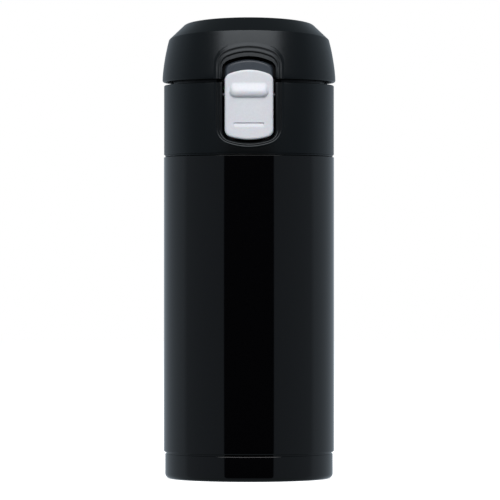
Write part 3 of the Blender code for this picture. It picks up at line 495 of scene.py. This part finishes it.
blade = (gasket_low.z + gasket_high.z) / 2
blade_half = 0.0003
gasket_root = 0.0203
gasket_bore = groove + gap
gasket = turned("stopper_gasket_ring", [
    (gasket_high.x, blade + blade_half, 0.0002), (gasket_high.x, blade - blade_half, 0.0002),
    (gasket_root, gasket_low.z, edge), (gasket_bore, gasket_low.z, 0.0002),
    (gasket_bore, gasket_high.z, 0.0002), (gasket_root, gasket_high.z, edge)])
finish(gasket, "gasket", "silicone", silicone, "stopper_gasket")

low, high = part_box("spout")
spout_radius = 0.0170
spout_bore = 0.0152
lip_round = 0.00085
spout = turned("drinking_spout", [
    (spout_radius, high.z, lip_round), (spout_radius, deck_top, 0.0006), (high.x, deck_top, 0.0002),
    (high.x, low.z), (spout_bore, low.z, edge), (spout_bore, high.z, lip_round)])
finish(spout, "cap", "dark_plastic", dark_plastic, "spout")

low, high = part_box("spout_gasket")
o_ring_half = (high.z - low.z) / 2
fresh()
bpy.ops.mesh.primitive_torus_add(
    major_radius=high.x - o_ring_half, minor_radius=o_ring_half, major_segments=96, minor_segments=16,
    location=(0, 0, low.z + o_ring_half))
o_ring = bpy.context.object
o_ring.name = "spout_o_ring"
bpy.ops.object.transform_apply(location=True, rotation=True, scale=True)
shaded(o_ring, 60)
finish(o_ring, "cap", "silicone", silicone, "spout_gasket")


# ---------------------------------------------------------------------------
# Collar: the matt black moulded ring over the neck. Its front is cut away for
# the lever, and two hinge lugs with tails down the wall stand at its rear.

matt_plastic, nodes, links, shader = material("matt_black_plastic", (0.0007, 0.0010, 0.0013), 0.3)
shader.inputs["Specular IOR Level"].default_value = 0.4
shader.inputs["Specular Tint"].default_value = (0.88, 0.96, 1.0, 1.0)
tinted(nodes, links, noise(nodes, links, 2600.0, 3.0), (0.0004, 0.0006, 0.0008), (0.0010, 0.0013, 0.0017),
       shader.inputs["Base Color"])
between(nodes, links, noise(nodes, links, 700.0, 2.0), 0.29, 0.32, shader.inputs["Roughness"])
bumped(nodes, links, noise(nodes, links, 4200.0, 2.0), 0.000008, shader)

collar_bottom = 0.1252
collar_top = 0.1523
collar_radius = 0.03295
collar_bore = 0.0310
slider_half = 0.00925
slider_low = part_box("lock_slider")[0].z
lever_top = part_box("release_lever")[1].z
side_gap = 0.00055
bottom_gap = 0.0009
top_gap = 0.0008
pocket_half = slider_half + side_gap
pocket_low = slider_low - bottom_gap
pocket_high = lever_top + top_gap
pocket_corner = 0.0032
low_arc = 0.0240
high_arc = 0.0200
cover = 0.0004


def pocket_tool():
    """The lever's pocket, a little wider than its edge, because the frame covers the cut."""
    outline = outlined(pocket_half + cover, pocket_low - cover, pocket_high + cover, low_arc, high_arc,
                       pocket_corner)
    return slab("pocket_tool", outline, tool_front, -pocket_back)


seat_radius = 0.0325
seat = shoulder + 0.0003
collar = turned("collar_ring", [
    (collar_radius, collar_top, 0.0005), (collar_radius, collar_bottom, 0.0004),
    (seat_radius, collar_bottom), (seat_radius, seat), (collar_bore, seat),
    (collar_bore, collar_top, edge)], segments=192)
shaded(shaped(collar, pocket_tool(), "DIFFERENCE"))
finish(collar, "cap", "matt_black_plastic", matt_plastic, "collar")


def rod(name, radius, start, stop, centre, segments=48):
    """A cylinder along X, with centre as (y, z)."""
    fresh()
    bpy.ops.mesh.primitive_cylinder_add(
        vertices=segments, radius=radius, depth=stop - start, rotation=(0, math.pi / 2, 0),
        location=((start + stop) / 2, centre[0], centre[1]))
    piece = bpy.context.object
    piece.name = name
    bpy.ops.object.transform_apply(location=True, rotation=True, scale=True)
    return piece


def knuckle(centre, radius, start, stop, steps=28):
    """Points round a hinge knuckle, with angles in degrees."""
    points = []
    for i in range(steps + 1):
        angle = math.radians(start + (stop - start) * i / steps)
        points.append((centre[0] + radius * math.cos(angle), centre[1] + radius * math.sin(angle)))
    return points


hinge = (0.0360, 0.15285)
knuckle_radius = 0.0023
hinge_hole = 0.0014
lug_from = 0.0039
lug_to = 0.0067
lug_tail = hinge[1] - 0.0078
lug_root = 0.0320
for side, start, stop in (("left", -lug_to, -lug_from), ("right", lug_from, lug_to)):
    outline = [(lug_root, collar_top - 0.0005)] + knuckle(hinge, knuckle_radius, 180, -60)
    outline += [(0.0341, 0.1481), (0.0331, 0.1464), (lug_root, lug_tail)]
    lug = eased(slab("hinge_lug_" + side, outline, start, stop, "X"), 0.0003)
    shaped(lug, rod("hole", hinge_hole, start - 0.001, stop + 0.001, hinge), "DIFFERENCE")
    shaded(lug)
    finish(lug, "cap", "matt_black_plastic", matt_plastic, "collar")


# ---------------------------------------------------------------------------
# Raised frame: a soft ridge moulded round the pocket on the collar, which runs
# on into the lid. Its inner lip rolls over into the pocket's deep side walls.

def wrapped(name, loops):
    """A grid of quads wrapped onto closed loops of points, one loop to a row."""
    rows = len(loops)
    count = len(loops[0])
    fresh()
    bpy.ops.mesh.primitive_grid_add(x_subdivisions=count, y_subdivisions=rows - 1, size=1.0)
    piece = bpy.context.object
    piece.name = name
    piece.data.name = name
    for vertex in piece.data.vertices:
        column = round((vertex.co.x + 0.5) * count) % count
        row = round((vertex.co.y + 0.5) * (rows - 1))
        vertex.co = loops[row][column]
    select_all_in_edit()
    weld_and_face_out()
    return piece


frame_side = 0.0028
frame_below = 0.0018
frame_above = 0.0045
frame_corner = 0.0065
foot_share = -0.34
foot_sink = -0.0012
ridge = ((foot_share, -0.0002), (-0.3, 0.00001), (-0.18, 0.00003), (-0.1, 0.00008), (-0.05, 0.00015),
         (-0.02, 0.0002), (0.02, 0.00022), (0.07, 0.0002), (0.14, 0.00014), (0.22, 0.0001), (0.29, 0.0001),
         (0.37, 0.00014), (0.45, 0.00016), (0.53, 0.00012), (0.62, -0.00002), (0.71, -0.00028),
         (0.8, -0.00066), (0.88, -0.00115), (0.95, -0.0018), (1.0, -0.0027))


def raised_frame(name, front, back):
    """A closed ridge round the pocket, from its outer foot at a share below 0 to the pocket's edge at 1.

    front(x, z, proud) gives Y that much proud of the surface, and back is Y at the block's rear.
    """
    loops = []
    for share, proud in ridge + ((1.0, None), (0.1, None), (foot_share, foot_sink), ridge[0]):
        keep = 1 - share
        outline = outlined(pocket_half + frame_side * keep, pocket_low - frame_below * keep,
                           pocket_high + frame_above * keep, low_arc, high_arc + frame_side * keep,
                           pocket_corner + (frame_corner - pocket_corner) * keep)
        if proud is None:
            loops.append([(x, back, z) for x, z in outline])
        else:
            loops.append([(x, front(x, z, proud), z) for x, z in outline])
    return wrapped(name, loops)


def keep_side(piece, height, above):
    """Cut a piece level at a height, keep one side, and close the cut."""
    make_active(piece)
    select_all_in_edit()
    bpy.ops.mesh.bisect(plane_co=(0, 0, height), plane_no=(0, 0, 1), clear_inner=above,
                        clear_outer=not above, use_fill=True)
    weld_and_face_out()
    return shaded(piece, 40)


lip_depth = 0.35
lip_height = 0.009


def collar_front(x, z, proud):
    """Y on the collar's face. The inward roll is shallow under the pocket and deepens up its sides."""
    rise = min(max((z - pocket_low) / lip_height, 0.0), 1.0)
    depth = lip_depth + (1 - lip_depth) * rise if proud < 0 else 1.0
    return -math.sqrt((collar_radius + proud * depth) ** 2 - x * x)


collar_frame_back = -0.0271
collar_frame = raised_frame("collar_frame", collar_front, collar_frame_back)
keep_side(collar_frame, collar_top - 0.0001, above=False)
finish(collar_frame, "cap", "matt_black_plastic", matt_plastic, "collar")


# ---------------------------------------------------------------------------
# Release lever: a grey moulded plate that rocks on a steel pin in the pocket.
# Its hook holds the lid shut, and a spring on the pin pushes its foot outwards.

def curved_plate(name, half, low, high, corner, front, back, easing):
    """A plate on nested loops, from a spine up its middle to a rim that is rounded over easing.

    front(x, z) gives its front radius.
    """
    outline = outlined(half, low, high, low_arc, high_arc, corner, count=320)
    spine_low = low + half
    spine_high = high - half
    rim = [(easing * (1 - math.cos(math.radians(a))), easing * (1 - math.sin(math.radians(a))))
           for a in range(0, 91, 15)]
    inset = [(easing + (half - easing) * i / 32, 0.0) for i in range(32, 0, -1)]
    loops = []
    for depth, drop in inset + list(reversed(rim)):
        share = depth / half
        loop = []
        for x, z in outline:
            x, z = x * (1 - share), z + (min(max(z, spine_low), spine_high) - z) * share
            loop.append((x, -math.sqrt((front(x, z) - drop) ** 2 - x * x), z))
        loops.append(loop)
    for share in (0.0, 0.25, 0.5, 0.75, 1.0):
        loop = []
        for x, z in outline:
            x, z = x * (1 - share), z + (min(max(z, spine_low), spine_high) - z) * share
            loop.append((x, -math.sqrt(back ** 2 - x * x), z))
        loops.append(loop)
    return shaded(wrapped(name, loops), 50)


grey_plastic, nodes, links, shader = material("grey_plastic", (0.044, 0.053, 0.065), 0.34)
tinted(nodes, links, noise(nodes, links, 2400.0, 3.0), (0.038, 0.048, 0.060), (0.046, 0.057, 0.070),
       shader.inputs["Base Color"])
between(nodes, links, noise(nodes, links, 700.0, 2.0), 0.32, 0.40, shader.inputs["Roughness"])
bumped(nodes, links, noise(nodes, links, 3600.0, 2.0), 0.000006, shader)

lever_low = slider_low + 0.0003
slider_front = 0.0332
slider_back = 0.0319
lever_front = 0.0316
lever_back = 0.0303
lever_pin = (-0.0287, 0.1474)
plate_corner = 0.0028
lever_rim = 0.0010
lever = curved_plate("lever_plate", slider_half, lever_low, lever_top, plate_corner,
                     lambda x, z: lever_front, lever_back, lever_rim)
slot_half = 0.0022
slot_low = 0.1365
slot_high = 0.1450
slot_outline = box_outline((-slot_half, slot_low), (slot_half, slot_high))
slot = eased(slab("slot", slot_outline, -0.04, -0.02), 0.0006)
shaded(shaped(lever, slot, "DIFFERENCE"), 50)
finish(lever, "lever", "grey_plastic", grey_plastic, "release_lever")

boss_radius = 0.0019
boss_bore = 0.0012
boss_from = 0.0048
boss_to = 0.0071
for side, start, stop in (("left", -boss_to, -boss_from), ("right", boss_from, boss_to)):
    boss = eased(rod("lever_boss_" + side, boss_radius, start, stop, lever_pin), 0.0002)
    shaped(boss, rod("bore", boss_bore, start - 0.001, stop + 0.001, lever_pin), "DIFFERENCE")
    shaded(boss)
    finish(boss, "lever", "grey_plastic", grey_plastic, "release_lever")

hook_half = 0.0045
hook_top = lever_top - 0.0017
hook_low = hook_top - 0.0018
hook_tip = -0.0292
hook_root = -0.0310
hook_outline = [(hook_root, hook_low), (hook_tip - 0.0003, hook_low), (hook_tip, hook_low + 0.0003),
                (hook_tip, hook_low + 0.0008), (hook_tip - 0.0008, hook_top), (hook_root, hook_top)]
hook = shaded(eased(slab("lever_hook", hook_outline, -hook_half, hook_half, "X"), 0.00015))
finish(hook, "lever", "grey_plastic", grey_plastic, "release_lever")

pin_radius = 0.0009
pin_half = 0.0110
pin = eased(rod("lever_pin_rod", pin_radius, -pin_half, pin_half, lever_pin), 0.0002)
blued_steel, nodes, links, shader = material("blued_steel", (0.10, 0.10, 0.11), 0.36, 1.0)
between(nodes, links, noise(nodes, links, 2000.0, 2.0), 0.30, 0.42, shader.inputs["Roughness"])
finish(shaded(pin), "cap", "steel", blued_steel, "lever_pin")


def torsion_spring(name, half, turns, radius, thickness, axis, legs):
    """A coil round an X axis, with a leg at each end."""
    points = []
    per_turn = 32
    steps = turns * per_turn
    for i in range(steps + 1):
        angle = 2 * math.pi * i / per_turn
        points.append((-half + 2 * half * i / steps, axis[0] + radius * math.cos(angle),
                       axis[1] + radius * math.sin(angle)))
    return swept(name, [legs[0]] + points + [legs[1]], thickness)


spring_half = 0.00395
spring_radius = 0.00145
spring_wire = 0.00025
spring_turns = 4
spring_back = lever_pin[0] + spring_radius
legs = ((-spring_half, spring_back, lever_pin[1] - 1.3 * boss_radius),
        (spring_half, spring_back, lever_pin[1] - 1.5 * boss_radius))
lever_spring = torsion_spring("lever_coil", spring_half, spring_turns, spring_radius, spring_wire,
                              lever_pin, legs)
finish(lever_spring, "lever", "steel", steel, "lever_spring")

low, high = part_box("lock_detent")
bow = 0.0002
middle = (low.z + high.z) / 2
leaf_outline = [(low.y, low.z), (high.y, low.z), (high.y + bow, middle), (high.y, high.z),
                (low.y, high.z), (low.y + bow, middle)]
leaf = shaded(eased(slab("detent_leaf", leaf_outline, low.x, high.x, "X"), 0.00008))
finish(leaf, "lever", "steel", steel, "lock_detent")


# ---------------------------------------------------------------------------
# Lock slider: the white moulded plate on the lever, with a finger rib across it
# and a small sunk mark. It slides up to lock, with a key through the lever's slot.

white_plastic, nodes, links, shader = material("white_plastic", (0.77, 0.79, 0.82), 0.42)
shader.inputs["Subsurface Weight"].default_value = 0.12
shader.inputs["Subsurface Scale"].default_value = 0.0012
tinted(nodes, links, noise(nodes, links, 1500.0, 3.0), (0.75, 0.77, 0.80), (0.79, 0.81, 0.84),
       shader.inputs["Base Color"])
between(nodes, links, noise(nodes, links, 500.0, 3.0), 0.38, 0.46, shader.inputs["Roughness"])
bumped(nodes, links, noise(nodes, links, 3200.0, 2.0), 0.000004, shader)

slider_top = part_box("lock_slider")[1].z
rib_top = slider_top - 0.0047
rib_crest = rib_top - 0.0038
rib_foot = rib_crest - 0.0020
rib_proud = 0.0013
rib_half = 0.0073
rib_end = 0.0022


def slider_surface(x, z):
    """The slider's front radius: level, with the rib rising softly from above and rolling under below."""
    past = min(max((abs(x) - rib_half + rib_end) / rib_end, 0.0), 1.0)
    up = max((z - rib_crest) / (rib_top - rib_crest), 0.0)
    down = max((rib_crest - z) / (rib_crest - rib_foot), 0.0)
    reach = min(math.hypot(past, up + down), 1.0)
    swell = math.sqrt(1 - reach * reach)
    if up > 0:
        swell += ((1 - reach) ** 2 * (1 + 2 * reach) - swell) * (up / math.hypot(past, up)) ** 2
    return slider_front + rib_proud * swell


slider_rim = 0.0007
slider = curved_plate("slider_plate", slider_half, slider_low, slider_top, plate_corner, slider_surface,
                      slider_back, slider_rim)
mark_half = 0.0057
mark_low = 0.1351
mark_high = 0.1368
mark_deep = 0.0005
mark_outline = box_outline((-mark_half, mark_low - 0.002), (mark_half, mark_high + 0.001))
mark = slab("mark", mark_outline, -0.04, -0.03)
mark_groove = turned("mark_groove", [
    (slider_front + mark_deep, mark_high), (slider_front + mark_deep, 2 * mark_low - mark_high),
    (slider_front - mark_deep, mark_high)], segments=192)
shaped(slider, shaped(mark, mark_groove, "INTERSECT"), "DIFFERENCE")
finish(shaded(slider, 50), "slider", "white_plastic", white_plastic, "lock_slider")

key_half = 0.0019
key_low = 0.1370
key_high = 0.1405
key_front = -slider_back - 0.0003
key_back = -0.0300
key_outline = box_outline((-key_half, key_low), (key_half, key_high))
key = eased(slab("slider_key", key_outline, key_front, key_back), 0.0002)
finish(shaded(key), "slider", "white_plastic", white_plastic, "lock_slider")


# ---------------------------------------------------------------------------
# Lid: the matt black moulded cover. Its side leans in, a broad chamfer leads to
# a top that slopes down to the rear, and the pocket's arch is cut into its front.

low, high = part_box("lid_shell")
lid_radius = -low.x
lid_bottom = collar_top + 0.0011
lid_rim = 0.0009
lid_lean = 0.0611
lid_crown = 6.68
lid_wall = 0.0018
lid_crease = 0.1697
top_radius = 0.0250
top_height = 0.1755
dome = 0.0005
slope = math.tan(math.radians(4.3))
slope_start = lid_bottom + 0.0046


def side_radius(height):
    """The lid's outer radius before its top is sloped."""
    rise = height - lid_bottom - lid_rim
    return lid_radius - lid_lean * rise - lid_crown * rise * rise


def slope_share(height):
    return min(max((height - slope_start) / (lid_crease - slope_start), 0.0), 1.0)


steps = 10
outside = []
inside = []
for i in range(1, steps):
    height = lid_crease + (lid_bottom + lid_rim - lid_crease) * i / steps
    outside.append((side_radius(height), height))
    inside.append((side_radius(height) - lid_wall, height))
lid = turned("lid_cover", [
    (0.0, top_height + dome), (0.009, top_height + dome * 0.87), (0.017, top_height + dome * 0.54),
    (top_radius, top_height, 0.0014), (side_radius(lid_crease), lid_crease, 0.0010)] + outside + [
    (lid_radius, lid_bottom, lid_rim), (lid_radius - lid_wall, lid_bottom, 0.0002)] + inside[::-1] + [
    (side_radius(lid_crease) - lid_wall, lid_crease - lid_wall / 2),
    (top_radius - lid_wall / 2, top_height - lid_wall), (0.0, top_height - lid_wall + dome / 2)],
    segments=192)
for vertex in lid.data.vertices:
    vertex.co.z -= vertex.co.y * slope * slope_share(vertex.co.z)
shaded(shaped(lid, pocket_tool(), "DIFFERENCE"))
finish(lid, "lid", "matt_black_plastic", matt_plastic, "lid_shell")


def lid_front(x, z, proud):
    """Y on the sloped lid's front at a height, found by stepping back down the slope."""
    height = z
    for _ in range(8):
        y = -math.sqrt((side_radius(height) + proud) ** 2 - x * x)
        height = z + y * slope * slope_share(height)
    return y


lid_frame_back = -0.0280
lid_frame = raised_frame("lid_frame_arch", lid_front, lid_frame_back)
keep_side(lid_frame, lid_bottom + 0.0002, above=True)
finish(lid_frame, "lid", "matt_black_plastic", matt_plastic, "lid_shell")

arm_from = lug_to + 0.0003
arm_to = 0.0110
arm_root = 0.0315
for side, start, stop in (("left", -arm_to, -arm_from), ("right", arm_from, arm_to)):
    outline = [(arm_root, lid_bottom + 0.0042), (0.0338, lid_bottom + 0.0030),
               (0.0354, lid_bottom + 0.0021)]
    outline += knuckle(hinge, knuckle_radius, 75, -180) + [(arm_root, lid_bottom + 0.0002)]
    arm = eased(slab("hinge_arm_" + side, outline, start, stop, "X"), 0.0003)
    shaped(arm, rod("hole", hinge_hole, start - 0.001, stop + 0.001, hinge), "DIFFERENCE")
    finish(shaded(arm), "lid", "matt_black_plastic", matt_plastic, "lid_shell")


# ---------------------------------------------------------------------------
# Inner moulding of the lid: a black cup pressed up into the cover, with a wall
# behind the lever, and the small catch that the hook holds.

low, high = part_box("lid_inner")
inner_skirt = 0.0305
inner_bore = 0.0296
ceiling = 0.1628
lid_inner = turned("lid_lining", [
    (0.0, high.z), (inner_skirt, high.z, 0.0018), (inner_skirt, low.z, edge), (inner_bore, low.z, edge),
    (inner_bore, ceiling, 0.0010), (0.0, ceiling)])
wall_front = -0.0276
wall_back = -0.0268
wall_half = 0.0120
mouth_half = 0.0108
wall = slab("wall", box_outline((-wall_half, low.z), (wall_half, high.z - 0.0005)), wall_front, wall_back)
shaped(lid_inner, wall, "UNION")
mouth_outline = box_outline((-mouth_half, low.z - spare), (mouth_half, pocket_high + 0.0005))
mouth = slab("mouth", mouth_outline, tool_front, wall_front)
shaped(lid_inner, mouth, "DIFFERENCE")
finish(shaded(lid_inner), "lid", "dark_plastic", dark_plastic, "lid_inner")

low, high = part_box("lid_catch")
catch_outline = [(low.y, low.z + 0.0008), (low.y + 0.0006, low.z), (high.y, low.z), (high.y, high.z),
                 (low.y, high.z)]
catch = shaded(eased(slab("lid_catch_block", catch_outline, low.x, high.x, "X"), 0.00015))
finish(catch, "lid", "dark_plastic", dark_plastic, "lid_catch")


# ---------------------------------------------------------------------------
# Spout seal: a grey silicone plug that shuts the spout, with a soft nose, and
# the black ring under the lid's ceiling that holds it by its flange.

low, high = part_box("spout_seal")
seal_flange = high.x
seal_seat = 0.1608
seal_round = 0.0004
nose_round = 0.0006
nose_hollow = 0.0007
spout_seal = turned("spout_seal_plug", [
    (0.0, high.z), (seal_flange, high.z, seal_round), (seal_flange, seal_seat, seal_round),
    (0.0149, seal_seat, seal_round), (0.0143, low.z + 0.0010, nose_round), (0.0125, low.z, nose_round),
    (0.0105, low.z, seal_round), (0.0098, low.z + nose_hollow, seal_round), (0.0, low.z + nose_hollow)])
finish(spout_seal, "lid", "silicone", silicone, "spout_seal")

low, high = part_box("seal_holder")
holder_bore = 0.0176
seal_holder = turned("seal_holder_ring", [
    (high.x, high.z), (high.x, low.z, 0.0005), (holder_bore, low.z, 0.0005), (holder_bore, high.z)])
finish(seal_holder, "lid", "dark_plastic", dark_plastic, "seal_holder")


# ---------------------------------------------------------------------------
# Hinge: a drawn steel pin through the collar's lugs and the lid's arms, and the
# wound torsion spring between the lugs that throws the lid open.

hinge_pin_radius = 0.0011
hinge_pin_half = 0.0108
hinge_pin = rod("hinge_pin_rod", hinge_pin_radius, -hinge_pin_half, hinge_pin_half, hinge)
hinge_pin = eased(hinge_pin, 0.00025)
finish(shaded(hinge_pin), "cap", "steel", steel, "hinge_pin")

coil_half = 0.0032
coil_radius = 0.0019
coil_wire = 0.0004
coil_turns = 5
legs = ((-coil_half, hinge[0] + coil_radius, hinge[1] - coil_radius),
        (coil_half, hinge[0] - coil_radius + 2 * coil_wire, hinge[1] + 2 * knuckle_radius))
lid_spring = torsion_spring("lid_coil", coil_half, coil_turns, coil_radius, coil_wire, hinge, legs)
finish(lid_spring, "lid", "steel", steel, "lid_spring")


# ---------------------------------------------------------------------------
# Stage: a plain white floor, and a studio of light panels that stand round the
# flask, with a dark gap in front and a large softbox above it. Then the camera.

fresh()
bpy.ops.mesh.primitive_plane_add(size=6.0, location=(0, 0, 0))
floor = bpy.context.object
floor.name = "floor"
floor_look, nodes, links, shader = material("pale_floor", (0.86, 0.86, 0.86), 0.9)
shader.inputs["Specular IOR Level"].default_value = 0.0
shader.inputs["Emission Color"].default_value = (1.0, 1.0, 1.0, 1.0)
shader.inputs["Emission Strength"].default_value = 0.8
floor.data.materials.append(floor_look)
floor.visible_glossy = False
floor.visible_diffuse = False

world = bpy.data.worlds.new("studio")
bpy.context.scene.world = world
world.use_nodes = True
nodes = world.node_tree.nodes
links = world.node_tree.links
sky = nodes["Background"]
direction = nodes.new("ShaderNodeTexCoord")
split = nodes.new("ShaderNodeSeparateXYZ")
links.new(direction.outputs["Generated"], split.inputs["Vector"])
side = nodes.new("ShaderNodeMath")
side.operation = "ABSOLUTE"
links.new(split.outputs["X"], side.inputs[0])
front = nodes.new("ShaderNodeMath")
front.operation = "MULTIPLY"
front.inputs[1].default_value = -1.0
links.new(split.outputs["Y"], front.inputs[0])
turn = nodes.new("ShaderNodeMath")
turn.operation = "ARCTAN2"
links.new(side.outputs[0], turn.inputs[0])
links.new(front.outputs[0], turn.inputs[1])
share = nodes.new("ShaderNodeMath")
share.operation = "DIVIDE"
share.inputs[1].default_value = math.pi
links.new(turn.outputs[0], share.inputs[0])
panels = nodes.new("ShaderNodeValToRGB")
# Each stop is an angle round from the front, in degrees, and the light's strength there.
stops = ((0.0, 0.002), (33.5, 0.003), (34.5, 0.21), (92.0, 0.25), (100.0, 0.36), (155.0, 0.42),
         (165.0, 0.45))
panel_tint = (0.86, 1.0, 1.13)
ramp = panels.color_ramp
while len(ramp.elements) < len(stops):
    ramp.elements.new(0.5)
for element, (angle, level) in zip(ramp.elements, stops):
    element.position = angle / 180
    element.color = (*[level * part for part in panel_tint], 1.0)
links.new(share.outputs[0], panels.inputs["Fac"])
# Looking steeply up or down, the panels give way to one even level.
height = nodes.new("ShaderNodeMapRange")
height.interpolation_type = "SMOOTHSTEP"
height.inputs["From Min"].default_value = 0.32
height.inputs["From Max"].default_value = 0.75
steepness = nodes.new("ShaderNodeMath")
steepness.operation = "ABSOLUTE"
links.new(split.outputs["Z"], steepness.inputs[0])
links.new(steepness.outputs["Value"], height.inputs["Value"])
ceiling_dark = nodes.new("ShaderNodeMix")
ceiling_dark.data_type = "RGBA"
ceiling_dark.inputs["B"].default_value = (0.17, 0.20, 0.22, 1.0)
links.new(height.outputs["Result"], ceiling_dark.inputs["Factor"])
links.new(panels.outputs["Color"], ceiling_dark.inputs["A"])
# The camera itself sees plain white behind the flask.
rays = nodes.new("ShaderNodeLightPath")
seen = nodes.new("ShaderNodeMix")
seen.data_type = "RGBA"
seen.inputs["B"].default_value = (1.0, 1.0, 1.0, 1.0)
links.new(rays.outputs["Is Camera Ray"], seen.inputs["Factor"])
links.new(ceiling_dark.outputs["Result"], seen.inputs["A"])
links.new(seen.outputs["Result"], sky.inputs["Color"])

lit_height = 0.12


def softbox(name, place, size, power):
    """A rectangular area light that faces the flask's upper half."""
    fresh()
    bpy.ops.object.light_add(type="AREA", location=place)
    lamp = bpy.context.object
    lamp.name = name
    lamp.data.shape = "RECTANGLE"
    lamp.data.size = size[0]
    lamp.data.size_y = size[1]
    lamp.data.energy = power
    lamp.data.color = (1.0, 0.98, 1.0)
    aim = Vector((0.0, 0.0, lit_height)) - lamp.location
    lamp.rotation_euler = aim.to_track_quat("-Z", "Y").to_euler()
    return lamp


softbox("front_top_softbox", (0.0, -1.2, 1.15), (2.5, 1.4), 35.0)

bpy.context.scene.view_settings.view_transform = "Standard"
camera_distance = 1.575
camera_height = 0.0809
view_width = 0.1941
view_rise = 0.0076
view_side = 0.0004
sensor = 36.0
fresh()
bpy.ops.object.camera_add(location=(0.0, -camera_distance, camera_height))
camera = bpy.context.object
camera.data.sensor_width = sensor
camera.data.lens = sensor * camera_distance / view_width
camera.data.clip_start = 0.05
target = Vector((view_side, 0.0, camera_height + view_rise))
camera.rotation_euler = (target - camera.location).to_track_quat("-Z", "Y").to_euler()
bpy.context.scene.camera = camera
